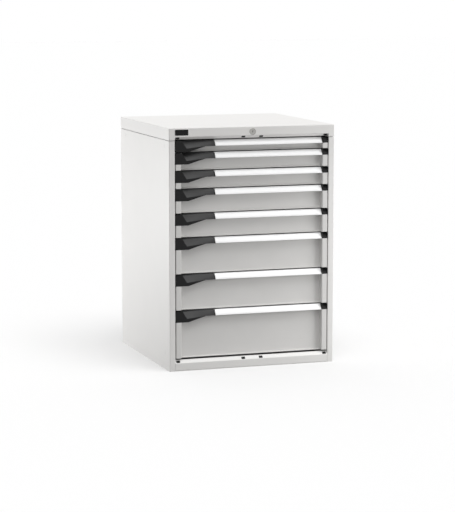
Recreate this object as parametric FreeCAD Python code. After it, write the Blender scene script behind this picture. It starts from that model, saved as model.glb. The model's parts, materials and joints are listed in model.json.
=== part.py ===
"""A drawer cabinet of folded sheet steel, in millimetres.

+X runs to the right, +Y to the back and +Z up. The origin is at the bottom centre. Most depths are
measured backwards from the plane of the front frame, and drawer heights down from a drawer's top line.
"""
import FreeCAD, Part
import math
import os

os.makedirs("parts", exist_ok=True)

# Overall size and the sheet that nearly everything is folded from
WIDTH = 717.0
DEPTH = 725.0
HEIGHT = 1000.0
SHEET = 1.5
BEND = 1.5
HALF = WIDTH / 2
WALL = HALF - SHEET

# Drawer rows, from the top down
DRAWER_HEIGHTS = (50.0, 75.0, 75.0, 100.0, 100.0, 150.0, 150.0, 200.0)
FIRST_TOP = 952.0
DRAWER_TOPS = [FIRST_TOP - sum(DRAWER_HEIGHTS[:row]) for row in range(len(DRAWER_HEIGHTS))]
ROWS = list(zip(range(1, len(DRAWER_HEIGHTS) + 1), DRAWER_TOPS, DRAWER_HEIGHTS))

# Outer shell
SIDE_FLANGE = 25.0
SIDE_RETURN = 30.0
REAR_FLANGE = 25.0
COVER_SKIRT = 50.0
COVER_SEAM = 2.0
COVER_RADIUS = 3.0
OPENING = HALF - SIDE_FLANGE
COVER_BOTTOM = HEIGHT - COVER_SKIRT
COVER_INSIDE = HEIGHT - SHEET
SIDE_TOP = COVER_BOTTOM - COVER_SEAM
BACK_MARGIN = 2.0

# Sloping bands above and below the drawers, and the edges turned in behind them
SKIRT_CUT = 970.0
HEADER_CREASE = 964.0
HEADER_EDGE = 953.0
HEADER_DEPTH = 12.0
SILL_CREASE = 32.5
SILL_EDGE = 46.0
SILL_DEPTH = 11.0
BAND_RETURN = 6.0

# Cross rail behind the skirt
RAIL_FRONT = 44.0
RAIL_FOOT = 956.0
RAIL_FLANGE = 22.0

# How far a cutting shape reaches past what it cuts
PAST = 1.0

# Pressed marks and a small hole in the side walls, as depth and height
SIDE_MARKS = ((60.0, 925.0), (645.0, 925.0), (60.0, 71.0), (645.0, 70.0))
MARK_HEIGHT = 16.0
MARK_WIDTH = 3.0
MARK_SINK = 0.6
SIDE_HOLE = (619.0, 23.0)
SIDE_HOLE_RADIUS = 2.75

# Slots in the sloping bands, closed by plugs
PLUG_PLACES = (-321.0, -38.5, 38.5, 321.0)
PLUG_UP = 7.8
PLUG_WIDTH = 16.5
PLUG_HEIGHT = 11.5
PLUG_CORNER = 2.5
PLUG_LAP = 1.0
PLUG_FLANGE = 1.2
PLUG_RIM = 1.5
PLUG_DISH = 0.6

# Floor and its fixing holes
FIXING_SPACING = 600.0
FIXING_RADIUS = 5.5
RUNNER_PLACE = 215.0
RUNNER_WIDTH = 60.0
RUNNER_HEIGHT = 26.0

# Screws through the rear edges
BACK_DEPTH = DEPTH - SHEET
SCREW_RADIUS = 2.0
SCREW_CLEARANCE = 0.05
SCREW_HEAD_RADIUS = 4.5
SCREW_HEAD = 1.5
SCREW_HEAD_ROUND = 0.8
SCREW_SOCKET_RADIUS = 1.6
SCREW_SOCKET = 0.9
SCREW_LENGTH = 9.0
SIDE_SCREW_PLACE = 345.0
SIDE_SCREW_HEIGHTS = (60.0, 265.0, 470.0, 675.0, 880.0)
CROSS_SCREW_PLACES = (-240.0, 0.0, 240.0)
TOP_SCREW_HEIGHT = 975.0
BOTTOM_SCREW_HEIGHT = 16.0

# Slotted uprights
COLUMN_FACE = 337.0
COLUMN_TOP = 996.0
FRONT_COLUMN = (32.0, 72.0)
REAR_COLUMN = (640.0, 690.0)
COLUMN_SLOT_PITCH = 25.0
COLUMN_SLOT_START = 62.0
COLUMN_SLOT_COUNT = 36
COLUMN_SLOT = (10.0, 4.0)

# Drawer slides: a cabinet channel, a plate that moves half as far, and a channel on the drawer
SLIDE_DROP = (10.0, 36.0)
CHANNEL_DEPTH = (34.0, 690.0)
CHANNEL_LIP = 326.5
PLATE_DEPTH = (36.0, 600.0)
PLATE_SIDE = (323.4, 325.2)
PLATE_DROP = (13.0, 33.0)
DRAWER_CHANNEL_DEPTH = (29.0, 640.0)
DRAWER_CHANNEL_LIP = 322.0
ROLLER_RADIUS = 11.2
OUTER_ROLLER_SIDE = (326.2, 334.3)
INNER_ROLLER_SIDE = (313.6, 322.4)
OUTER_ROLLERS = (350.0, 585.0)
INNER_ROLLERS = (55.0, 315.0)
PIN_RADIUS = 3.0
PIN_HEAD = 0.5
PIN_CLEARANCE = 0.05

# Drawer
FRONT_GAP = 4.0
FRONT_LIFT = 1.0
STRIP_OUTER = 330.0
STRIP_INNER = 307.5
STRIP_DEPTH = 24.0
PANEL_DEPTH = 25.0
LIP_FRONT = 15.5
TRAY_SIDE = 311.0
TRAY_BACK = 641.5
TRAY_LIFT = 2.0
RIM_DROP = 8.0
RIM_WIDTH = 5.0
TAB_HALF = 12.0
TAB_DROP = 10.5
TAB_HOOK = 20.0
TAB_END = 655.0
PANEL_FOLD = 8.0
NARROW_LIP_START = -264.0

# Handle strip: a sloping face between its bottom edge, in the front plane, and its top edge
STRIP_DROP = 26.5
STRIP_SETBACK = 16.0
STRIP_LEFT = -159.5
STRIP_RIGHT = 306.5
STRIP_LIP = 1.0
LABEL_SEAT = 1.4
LABEL_THICKNESS = 1.1
LABEL_END = 0.5
STRIP_WALL = 3.0
STRIP_HEM = 8.0
SLOPE = STRIP_SETBACK / (STRIP_DROP - FRONT_GAP)
FACE_LENGTH = math.hypot(STRIP_SETBACK, STRIP_DROP - FRONT_GAP)

# Left grip, measured from the cabinet's left side and down from the drawer's top line
GRIP_LEFT = 25.5
GRIP_RIGHT = 195.0
GRIP_DROP = 50.0
GRIP_TOE = (82.0, 50.0)
GRIP_HEEL = (158.0, 27.0)
GRIP_END_DROP = 26.5
GRIP_CORNER = 1.5
GRIP_TOE_RADIUS = 8.0
GRIP_WALL = 2.5
POCKET_TOP = 55.0
POCKET_FOOT = (75.0, 36.0)
POCKET_TOE = (76.0, 36.0)
LEVER_BAY = (30.0, 74.0)
LEVER_BAY_KNEE = 40.0
FINGER_BAY = (78.0, 191.0)
FINGER_FLOOR = 60.0
WINDOW_START = 69.0
WINDOW_DEPTH = (13.0, 20.0)
WINDOW_DROP = (36.5, 46.5)
TENON_END = 198.8

# Right end cap
CAP_LEFT = 307.0
CAP_RIGHT = 333.0
CAP_DROP = 27.0
CAP_RIM = 3.5
CAP_SILL = 3.0

# Catch lever, behind the left grip
PIVOT_DEPTH = 10.0
PIVOT_DROP = 42.0
BARREL_RADIUS = 3.5
BARREL_SPAN = (30.5, 72.5)
LEVER_PIN_RADIUS = 2.0
LEVER_PIN_SPAN = (27.5, 77.0)
FOOT_SPAN = (36.0, 72.0)
FOOT_DROP = (39.0, 41.0)
BLADE_DEPTH = (15.5, 17.0)
BLADE_FOOT = ((82.0, 38.5), (40.0, 38.5), (40.0, 45.0), (90.0, 45.0))
BLADE_TIP = ((140.0, 31.0), (140.0, 24.0), (82.0, 24.0))
HOOK_SIDE = (33.0, 38.0)
HOOK_DROP = (42.5, 45.5)
NOSE_DEPTH = (43.0, 46.0)
NOSE_DROP = 48.0
NOSE_CLEARANCE = 0.5
KEEPER_REACH = 319.0
KEEPER_DEPTH = (41.0, 56.0)
KEEPER_DROP = 59.0

# Lock in the middle of the top skirt
LOCK_HEIGHT = 979.0
LOCK_RIM_RADIUS = 14.0
LOCK_RIM = 1.5
LOCK_CHAMFER = 0.7
PLUG_SINK = 0.3
LOCK_BODY_RADIUS = 9.5
LOCK_BODY_LENGTH = 24.0
LOCK_PLUG_RADIUS = 6.5
LOCK_CLEARANCE = 0.05
KEYWAY = (2.0, 8.0, 9.0)
NUT_FLATS = 24.0
NUT_THICKNESS = 4.0
SHAFT_RADIUS = 4.0
SHAFT_START = 26.0
SHAFT_END = 651.0
SLEEVE_RADIUS = 7.0
SLEEVE_LENGTH = 10.0
BEARING_DEPTH = (625.0, 642.0)
BEARING_HALF = 16.0
BEARING_DROP = 14.0
CRANK_RADIUS = 13.0
CRANK_THICKNESS = 4.0
CRANK_OFFSET = 6.0
CRANK_PIN_RADIUS = 2.5
CRANK_PIN_END = 664.5

# Locking bar behind the drawers
BAR_HALF = 15.0
BAR_DEPTH = (660.0, 663.0)
BAR_SPAN = (90.0, 982.0)
BAR_SLOT_HEIGHT = 5.8
BAR_SLOT_SIDE = (-11.6, -3.0)
LUG_HALF = 10.0
LUG_DEPTH = (646.0, 650.0)
LUG_ARM_DROP = (33.5, 37.5)
LUG_FINGER_DROP = 26.0
GUIDE_HEIGHTS = (120.0, 460.0, 840.0)
GUIDE_TALL = 30.0
GUIDE_PLAY = 0.5
GUIDE_LIP = 9.0
GUIDE_FOOT = 18.0

# Blank plate on the top skirt
BADGE_SIDE = (-333.0, -276.5)
BADGE_SPAN = (970.0, 993.5)
BADGE_THICKNESS = 1.0
BADGE_CORNER = 3.0


def at(x, depth, z):
    """A point from its place across, its depth behind the front plane and its height."""
    return FreeCAD.Vector(x, depth - DEPTH / 2, z)


def block(across, depths, heights):
    """A square-edged block between three pairs of limits."""
    corner = at(min(across), min(depths), min(heights))
    sides = [max(limits) - min(limits) for limits in (across, depths, heights)]
    return Part.makeBox(*sides, corner)


def bar(start, end, radius):
    """A round bar between two points."""
    along = end - start
    return Part.makeCylinder(radius, along.Length, start, along)


def mirror(shape):
    """The same shape on the other side of the cabinet."""
    return shape.mirror(FreeCAD.Vector(0, 0, 0), FreeCAD.Vector(1, 0, 0))


def fuse(shapes):
    """One clean solid from touching or overlapping shapes."""
    return shapes[0].multiFuse(shapes[1:]).removeSplitter()


def save(node, *solids):
    """Write one sub-part, as one solid or as a group of separate ones."""
    for solid in solids:
        if not solid.isValid() or len(solid.Solids) != 1:
            print("check", node, len(solid.Solids), solid.isValid())
    shape = solids[0] if len(solids) == 1 else Part.makeCompound(list(solids))
    shape.exportStep("parts/" + node + ".step")


def rounded_path(corners, radii):
    """Lines through the corners, with a tangent arc at each inner one that has a radius."""
    edges = []
    start = corners[0]
    for corner, following, radius in zip(corners[1:-1], corners[2:], radii):
        if not radius:
            edges.append(Part.makeLine(start, corner))
            start = corner
            continue
        before = (corner - start).normalize()
        after = (following - corner).normalize()
        half_turn = before.getAngle(after) / 2
        reach = radius * math.tan(half_turn)
        inward = (after - before).normalize()
        middle = corner + inward * (radius / math.cos(half_turn) - radius)
        enter = corner - before * reach
        leave = corner + after * reach
        edges.append(Part.makeLine(start, enter))
        edges.append(Part.Arc(enter, middle, leave).toShape())
        start = leave
    edges.append(Part.makeLine(start, corners[-1]))
    return edges


def shifted(path, offset):
    """A path of flat points moved sideways, to the left of its run where the offset is positive."""
    normals = []
    for (a0, b0), (a1, b1) in zip(path, path[1:]):
        length = math.hypot(a1 - a0, b1 - b0)
        normals.append(((b0 - b1) / length, (a1 - a0) / length))
    moved = []
    for (a, b), first, second in zip(path, normals[:1] + normals, normals + normals[-1:]):
        reach = offset / (1 + first[0] * second[0] + first[1] * second[1])
        moved.append((a + reach * (first[0] + second[0]), b + reach * (first[1] + second[1])))
    return moved


def turns_left(path):
    """For each inner point of a flat path, whether it bends to the left."""
    result = []
    for (a0, b0), (a1, b1), (a2, b2) in zip(path, path[1:], path[2:]):
        result.append((a1 - a0) * (b2 - b1) - (b1 - b0) * (a2 - a1) > 0)
    return result


def folded(path, side, place, sweep):
    """Sheet bent along a flat path, its thickness to the left where side is 1 and right where it is -1."""
    lefts = turns_left(path)
    face_radii = [BEND + SHEET if left == (side > 0) else BEND for left in lefts]
    back_radii = [2 * BEND + SHEET - radius for radius in face_radii]
    face = [place(a, b) for a, b in path]
    back = [place(a, b) for a, b in shifted(path, side * SHEET)][::-1]
    edges = rounded_path(face, face_radii)
    edges.append(Part.makeLine(face[-1], back[0]))
    edges += rounded_path(back, back_radii[::-1])
    edges.append(Part.makeLine(back[-1], face[0]))
    return Part.Face(Part.Wire(edges)).extrude(sweep)


def upright(path, side, z_low, z_high):
    """Sheet folded along a path of place across and depth, standing between two heights."""
    return folded(path, side, lambda x, depth: at(x, depth, z_low), FreeCAD.Vector(0, 0, z_high - z_low))


def crosswise(path, side, x_low, x_high):
    """Sheet folded along a path of depth and height, running from left to right."""
    return folded(path, side, lambda depth, z: at(x_low, depth, z), FreeCAD.Vector(x_high - x_low, 0, 0))


def lengthwise(path, side, depth_low, depth_high):
    """Sheet folded along a path of place across and height, running from front to back."""
    return folded(path, side, lambda x, z: at(x, depth_low, z), FreeCAD.Vector(0, depth_high - depth_low, 0))


def prism(points, sweep):
    """A solid swept from the polygon through the points."""
    return Part.Face(Part.makePolygon(list(points) + [points[0]])).extrude(sweep)


def rounded_tile(width, height, thickness, corner):
    """A flat tile with round corners, centred on the origin and rising from it."""
    tile = Part.makeBox(width, height, thickness, FreeCAD.Vector(-width / 2, -height / 2, 0))
    edges = [edge for edge in tile.Edges if abs(edge.tangentAt(edge.FirstParameter).z) > 0.9]
    return tile.makeFillet(corner, edges)


# Side panels: one sheet each, folded into a front edge with a return and a rear edge


def side_panel():
    path = [
        (-OPENING, SIDE_RETURN),
        (-OPENING, 0),
        (-HALF, 0),
        (-HALF, DEPTH),
        (-HALF + REAR_FLANGE, DEPTH),
    ]
    panel = upright(path, -1, SHEET, SIDE_TOP)
    for depth, z in SIDE_MARKS:
        half_width = MARK_WIDTH / 2
        straight = MARK_HEIGHT / 2 - half_width
        sunk = (-HALF, -HALF + MARK_SINK)
        mark = block(sunk, (depth - half_width, depth + half_width), (z - straight, z + straight))
        ends = [bar(at(sunk[0], depth, z + end), at(sunk[1], depth, z + end), half_width)
                for end in (-straight, straight)]
        panel = panel.cut(fuse([mark] + ends))
    panel = panel.cut(bar(at(-HALF - PAST, *SIDE_HOLE), at(-WALL + PAST, *SIDE_HOLE), SIDE_HOLE_RADIUS))
    for z in SIDE_SCREW_HEIGHTS:
        panel = panel.cut(screw_hole(-SIDE_SCREW_PLACE, z))
    return panel


def screw_hole(x, z):
    """Clearance for one screw through the two sheets at the back."""
    return bar(at(x, DEPTH - SCREW_LENGTH, z), at(x, DEPTH + PAST, z), SCREW_RADIUS + SCREW_CLEARANCE)


def screw_places():
    """Where the screws at the back stand, as place across and height."""
    places = [(side * SIDE_SCREW_PLACE, z) for side in (-1, 1) for z in SIDE_SCREW_HEIGHTS]
    places += [(x, TOP_SCREW_HEIGHT) for x in CROSS_SCREW_PLACES]
    places += [(x, BOTTOM_SCREW_HEIGHT) for x in CROSS_SCREW_PLACES]
    return places


left_side = side_panel()
save("left_side_panel", left_side)
save("right_side_panel", mirror(left_side))


# Back panel, inside the rear edges of the side panels


def back_panel():
    half = WALL - BACK_MARGIN
    panel = block((-half, half), (BACK_DEPTH - SHEET, BACK_DEPTH), (2 * SHEET, COVER_INSIDE - BACK_MARGIN))
    for x, z in screw_places():
        panel = panel.cut(screw_hole(x, z))
    return panel


def back_screw(x, z):
    head = Part.makeCylinder(SCREW_HEAD_RADIUS, SCREW_HEAD, at(x, DEPTH, z), FreeCAD.Vector(0, 1, 0))
    outer = [edge for edge in head.Edges if edge.BoundBox.YMin > DEPTH / 2 + SCREW_HEAD / 2]
    head = head.makeFillet(SCREW_HEAD_ROUND, outer)
    face = DEPTH + SCREW_HEAD
    socket = bar(at(x, face - SCREW_SOCKET, z), at(x, face + PAST, z), SCREW_SOCKET_RADIUS)
    shank = bar(at(x, DEPTH - SCREW_LENGTH, z), at(x, face - SCREW_SOCKET, z), SCREW_RADIUS)
    return fuse([head.cut(socket), shank])


save("back_panel", back_panel())
save("back_panel_screws", *[back_screw(x, z) for x, z in screw_places()])


# Top cover: a pan whose front skirt folds inwards over the drawer opening


def band_frame(crease, edge, depth):
    """Placement of a tile on a sloping band, its own Y up the band and its own Z out of the visible face."""
    rise = edge - crease
    share = PLUG_UP / math.hypot(depth, rise)
    centre = at(0, share * depth, crease + share * rise)
    up = math.copysign(1, rise)
    tilt = math.degrees(math.atan2(up * rise, up * depth))
    return FreeCAD.Placement(centre, FreeCAD.Rotation(FreeCAD.Vector(1, 0, 0), tilt))


HEADER_FRAME = band_frame(HEADER_CREASE, HEADER_EDGE, HEADER_DEPTH)
SILL_FRAME = band_frame(SILL_CREASE, SILL_EDGE, SILL_DEPTH)


def on_band(tile, frame, x, height):
    """A tile set on a band at a place across, raised above the band's face."""
    placed = tile.copy()
    placed.translate(FreeCAD.Vector(0, 0, height))
    placed.Placement = frame.multiply(placed.Placement)
    placed.translate(FreeCAD.Vector(x, 0, 0))
    return placed


def cut_band_slots(sheet, frame):
    tile = rounded_tile(PLUG_WIDTH, PLUG_HEIGHT, 4 * SHEET, PLUG_CORNER)
    for x in PLUG_PLACES:
        sheet = sheet.cut(on_band(tile, frame, x, -2 * SHEET))
    return sheet


def lock_point(depth):
    """A point on the lock's axis."""
    return at(0, depth, LOCK_HEIGHT)


def top_cover():
    outer = block((-HALF, HALF), (0, DEPTH), (COVER_BOTTOM, HEIGHT))
    keen = [edge for edge in outer.Edges if edge.BoundBox.ZMax > HEIGHT - SHEET]
    outer = outer.makeFillet(COVER_RADIUS, keen)
    inner = block((-WALL, WALL), (SHEET, DEPTH - SHEET), (COVER_BOTTOM - SHEET, COVER_INSIDE))
    keen = [edge for edge in inner.Edges if edge.BoundBox.ZMax > COVER_INSIDE - SHEET]
    inner = inner.makeFillet(COVER_RADIUS - SHEET, keen)
    pan = outer.cut(inner)
    pan = pan.cut(block((-OPENING, OPENING), (-PAST, SIDE_RETURN), (COVER_BOTTOM - PAST, SKIRT_CUT)))
    header = [
        (0, SKIRT_CUT),
        (0, HEADER_CREASE),
        (HEADER_DEPTH, HEADER_EDGE),
        (HEADER_DEPTH + BAND_RETURN, HEADER_EDGE),
        (HEADER_DEPTH + BAND_RETURN, HEADER_CREASE),
    ]
    fold = cut_band_slots(crosswise(header, 1, -OPENING, OPENING), HEADER_FRAME)
    cheek = block((-OPENING - SHEET, -OPENING), (SHEET / 2, SIDE_RETURN), (COVER_BOTTOM, SKIRT_CUT))
    cover = fuse([pan, fold, cheek, mirror(cheek)])
    cover = cover.cut(bar(lock_point(-PAST), lock_point(SHEET + PAST), LOCK_BODY_RADIUS))
    for x in CROSS_SCREW_PLACES:
        cover = cover.cut(screw_hole(x, TOP_SCREW_HEIGHT))
    return cover


save("top_cover", top_cover())


# Cross rails at the front: a header behind the skirt and a sill at the bottom


def top_front_rail():
    path = [
        (RAIL_FRONT + RAIL_FLANGE, COVER_INSIDE),
        (RAIL_FRONT, COVER_INSIDE),
        (RAIL_FRONT, RAIL_FOOT),
        (RAIL_FRONT + RAIL_FLANGE, RAIL_FOOT),
    ]
    rail = crosswise(path, 1, -COLUMN_FACE, COLUMN_FACE)
    return rail.cut(bar(lock_point(RAIL_FRONT - PAST), lock_point(RAIL_FRONT + SHEET + PAST), SLEEVE_RADIUS))


def bottom_front_rail():
    path = [
        (SIDE_RETURN, SHEET),
        (0, SHEET),
        (0, SILL_CREASE),
        (SILL_DEPTH, SILL_EDGE),
        (SILL_DEPTH + BAND_RETURN, SILL_EDGE),
        (SILL_DEPTH + BAND_RETURN, SILL_CREASE),
    ]
    return cut_band_slots(crosswise(path, -1, -OPENING, OPENING), SILL_FRAME)


def slot_plug(frame, x):
    """A plug that fills a slot, with a flange behind the sheet and a shallow dish in its face."""
    stem = rounded_tile(PLUG_WIDTH, PLUG_HEIGHT, SHEET, PLUG_CORNER)
    flange = rounded_tile(PLUG_WIDTH + PLUG_LAP, PLUG_HEIGHT + PLUG_LAP, PLUG_FLANGE, PLUG_CORNER)
    dish = rounded_tile(PLUG_WIDTH - 2 * PLUG_RIM, PLUG_HEIGHT - 2 * PLUG_RIM, PAST, PLUG_CORNER - PLUG_RIM)
    pieces = [on_band(stem, frame, x, -SHEET), on_band(flange, frame, x, -SHEET - PLUG_FLANGE)]
    return fuse(pieces).cut(on_band(dish, frame, x, -PLUG_DISH))


save("top_front_rail", top_front_rail())
save("bottom_front_rail", bottom_front_rail())
save("slot_plugs", *[slot_plug(frame, x) for frame in (HEADER_FRAME, SILL_FRAME) for x in PLUG_PLACES])


# Floor: a plate on the ground with two stiffening runners, a rear edge and four fixing holes


def base_frame():
    plate = block((-HALF, HALF), (0, DEPTH), (0, SHEET))
    keen = [edge for edge in plate.Edges if abs(edge.tangentAt(edge.FirstParameter).z) > 0.9]
    plate = plate.makeFillet(COVER_RADIUS, keen)
    for x in (-FIXING_SPACING / 2, FIXING_SPACING / 2):
        for y in (-FIXING_SPACING / 2, FIXING_SPACING / 2):
            plate = plate.cut(Part.makeCylinder(FIXING_RADIUS, SHEET + PAST, FreeCAD.Vector(x, y, 0)))
    rear_half = HALF - REAR_FLANGE
    rear_edge = block((-rear_half, rear_half), (BACK_DEPTH, DEPTH), (0, COVER_SKIRT / 2))
    for x in CROSS_SCREW_PLACES:
        rear_edge = rear_edge.cut(screw_hole(x, BOTTOM_SCREW_HEIGHT))
    foot = RUNNER_WIDTH / 4
    half = RUNNER_WIDTH / 2
    low = SHEET
    high = RUNNER_HEIGHT
    hat = [
        (RUNNER_PLACE - half - foot, low + SHEET),
        (RUNNER_PLACE - half, low + SHEET),
        (RUNNER_PLACE - half, high),
        (RUNNER_PLACE + half, high),
        (RUNNER_PLACE + half, low + SHEET),
        (RUNNER_PLACE + half + foot, low + SHEET),
    ]
    runner = lengthwise(hat, -1, SIDE_RETURN + BEND, BACK_DEPTH - 2 * SHEET)
    return fuse([plate, rear_edge, runner, mirror(runner)])


save("base_frame", base_frame())


# Slotted uprights, welded to the side walls


def column(depths):
    near, far = depths
    path = [(-WALL, near), (-COLUMN_FACE, near), (-COLUMN_FACE, far), (-WALL, far)]
    profile = upright(path, 1, SHEET, COLUMN_TOP)
    middle = (near + far) / 2
    width, height = COLUMN_SLOT
    slots = []
    for step in range(COLUMN_SLOT_COUNT):
        z = COLUMN_SLOT_START + step * COLUMN_SLOT_PITCH
        across = (-COLUMN_FACE - 2 * SHEET, -COLUMN_FACE + PAST)
        heights = (z - height / 2, z + height / 2)
        slots.append(block(across, (middle - width / 2, middle + width / 2), heights))
    return profile.cut(Part.makeCompound(slots))


for node, depths in (("front_columns", FRONT_COLUMN), ("rear_columns", REAR_COLUMN)):
    left_column = column(depths)
    save(node, left_column, mirror(left_column))


# Cabinet channels of the drawer slides


def slide_channel(top):
    high = top - SLIDE_DROP[0]
    low = top - SLIDE_DROP[1]
    path = [(-CHANNEL_LIP, low), (-COLUMN_FACE, low), (-COLUMN_FACE, high), (-CHANNEL_LIP, high)]
    return lengthwise(path, -1, *CHANNEL_DEPTH)


channels = [slide_channel(top) for top in DRAWER_TOPS]
save("slide_channels", *channels, *[mirror(channel) for channel in channels])


# Keepers that the drawer catches hook behind, on the left front upright


def catch_keeper(top):
    near, far = KEEPER_DEPTH
    path = [(-KEEPER_REACH, near), (-COLUMN_FACE, near), (-COLUMN_FACE, far)]
    return upright(path, -1, top - KEEPER_DROP, top - NOSE_DROP - NOSE_CLEARANCE)


save("catch_keepers", *[catch_keeper(top) for top in DRAWER_TOPS])


# Blank plate at the left of the top skirt


def badge_plate():
    width = BADGE_SIDE[1] - BADGE_SIDE[0]
    height = BADGE_SPAN[1] - BADGE_SPAN[0]
    tile = rounded_tile(width, height, BADGE_THICKNESS, BADGE_CORNER)
    tile.rotate(FreeCAD.Vector(0, 0, 0), FreeCAD.Vector(1, 0, 0), 90)
    tile.translate(at(sum(BADGE_SIDE) / 2, 0, sum(BADGE_SPAN) / 2))
    return tile


save("badge_plate", badge_plate())


# Lock: barrel and nut in the skirt, a turning plug with a long shaft, and a bar that the shaft's crank lifts


def lock_barrel():
    rim = bar(lock_point(-LOCK_RIM), lock_point(0), LOCK_RIM_RADIUS)
    front = [edge for edge in rim.Edges if edge.BoundBox.YMax < -(DEPTH + LOCK_RIM) / 2]
    rim = rim.makeChamfer(LOCK_CHAMFER, front)
    body = bar(lock_point(-LOCK_RIM), lock_point(LOCK_BODY_LENGTH), LOCK_BODY_RADIUS)
    bore_ends = (lock_point(-LOCK_RIM - PAST), lock_point(LOCK_BODY_LENGTH + PAST))
    bore = bar(*bore_ends, LOCK_PLUG_RADIUS + LOCK_CLEARANCE)
    return fuse([rim, body]).cut(bore)


def lock_nut():
    radius = NUT_FLATS / 2 / math.cos(math.pi / 6)
    points = []
    for step in range(6):
        angle = math.pi / 3 * step
        points.append(at(radius * math.cos(angle), SHEET, LOCK_HEIGHT + radius * math.sin(angle)))
    nut = prism(points, FreeCAD.Vector(0, NUT_THICKNESS, 0))
    return nut.cut(bar(lock_point(0), lock_point(LOCK_BODY_LENGTH), LOCK_BODY_RADIUS))


def lock_plug():
    plug = bar(lock_point(-LOCK_RIM + PLUG_SINK), lock_point(LOCK_BODY_LENGTH), LOCK_PLUG_RADIUS)
    flange = bar(lock_point(LOCK_BODY_LENGTH), lock_point(SHAFT_START), LOCK_BODY_RADIUS)
    width, height, deep = KEYWAY
    heights = (LOCK_HEIGHT - height / 2, LOCK_HEIGHT + height / 2)
    keyway = block((-width / 2, width / 2), (-LOCK_RIM, deep), heights)
    return fuse([plug, flange]).cut(keyway)


def lock_shaft():
    crank_end = SHAFT_END + CRANK_THICKNESS
    shaft = bar(lock_point(SHAFT_START), lock_point(crank_end), SHAFT_RADIUS)
    sleeve = bar(lock_point(SHAFT_START), lock_point(SHAFT_START + SLEEVE_LENGTH), SLEEVE_RADIUS)
    crank = bar(lock_point(SHAFT_END), lock_point(crank_end), CRANK_RADIUS)
    aside = FreeCAD.Vector(-CRANK_OFFSET, 0, -CRANK_OFFSET)
    pin = bar(lock_point(SHAFT_END) + aside, lock_point(CRANK_PIN_END) + aside, CRANK_PIN_RADIUS)
    return fuse([shaft, sleeve, crank, pin])


def lock_bar():
    plate = block((-BAR_HALF, BAR_HALF), BAR_DEPTH, BAR_SPAN)
    slot_middle = LOCK_HEIGHT - CRANK_OFFSET
    slot_span = (slot_middle - BAR_SLOT_HEIGHT / 2, slot_middle + BAR_SLOT_HEIGHT / 2)
    plate = plate.cut(block(BAR_SLOT_SIDE, (BAR_DEPTH[0] - PAST, BAR_DEPTH[1] + PAST), slot_span))
    lugs = []
    across = (-LUG_HALF, LUG_HALF)
    for top in DRAWER_TOPS:
        arm_span = (top - LUG_ARM_DROP[1], top - LUG_ARM_DROP[0])
        lugs.append(block(across, (LUG_DEPTH[0], BAR_DEPTH[0]), arm_span))
        lugs.append(block(across, LUG_DEPTH, (arm_span[0], top - LUG_FINGER_DROP)))
    return fuse([plate] + lugs)


def bar_guide(z):
    """A bracket from the back panel with two cheeks, front lips and a cross plate behind the bar."""
    inner = BAR_HALF + GUIDE_PLAY + SHEET
    front = BAR_DEPTH[0] - GUIDE_PLAY - SHEET
    rear = BACK_DEPTH - 2 * SHEET
    low = z - GUIDE_TALL / 2
    high = z + GUIDE_TALL / 2
    path = [(-GUIDE_LIP, front), (-inner, front), (-inner, rear), (-inner - GUIDE_FOOT, rear)]
    cheek = upright(path, -1, low, high)
    behind = BAR_DEPTH[1] + GUIDE_PLAY
    cross = block((-inner + SHEET / 2, inner - SHEET / 2), (behind, behind + SHEET), (low, high))
    return fuse([cheek, mirror(cheek), cross])


def shaft_bearing():
    """A hanger under the top cover that carries the rear of the lock shaft."""
    near, far = BEARING_DEPTH
    path = [(near, COVER_INSIDE), (far, COVER_INSIDE), (far, LOCK_HEIGHT - BEARING_DROP)]
    hanger = crosswise(path, -1, -BEARING_HALF, BEARING_HALF)
    return hanger.cut(bar(lock_point(near), lock_point(far + PAST), SHAFT_RADIUS + LOCK_CLEARANCE))


save("lock_barrel", lock_barrel())
save("lock_nut", lock_nut())
save("lock_plug", lock_plug())
save("lock_shaft", lock_shaft())
save("lock_bar", lock_bar())
save("lock_brackets", *[bar_guide(z) for z in GUIDE_HEIGHTS], shaft_bearing())


# Drawer tray with its folded front, slide channels and rear tab


def drawer_front(top, height):
    """Side strips standing forward of the recessed panel, the panel's bottom lip and its top edge."""
    bottom = top - height + FRONT_LIFT
    path = [
        (-STRIP_OUTER, STRIP_DEPTH),
        (-STRIP_OUTER, 0),
        (-STRIP_INNER, 0),
        (-STRIP_INNER, PANEL_DEPTH),
        (STRIP_INNER, PANEL_DEPTH),
        (STRIP_INNER, 0),
        (STRIP_OUTER, 0),
        (STRIP_OUTER, STRIP_DEPTH),
    ]
    grip_foot = top - GRIP_DROP
    across = (STRIP_INNER + SHEET / 2, STRIP_OUTER - SHEET / 2)
    closing = block(across, (SHEET / 2, STRIP_DEPTH), (bottom, bottom + SHEET))
    pieces = [upright(path[3:], 1, max(bottom, grip_foot), top - CAP_DROP), closing]
    if grip_foot > bottom:
        pieces += [upright(path, 1, bottom, grip_foot), mirror(closing)]
    back = PANEL_DEPTH + SHEET
    fold_height = top - FRONT_GAP - SHEET
    fold = (back + PANEL_FOLD, fold_height)
    path = [(LIP_FRONT, bottom), (back, bottom), (back, fold_height), fold]
    panel = crosswise(path, 1, -TRAY_SIDE, TRAY_SIDE)
    if grip_foot <= bottom:
        lip = block((-TRAY_SIDE, NARROW_LIP_START), (0, PANEL_DEPTH), (bottom, bottom + 2 * SHEET))
        panel = panel.cut(lip)
    return pieces + [panel]


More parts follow.
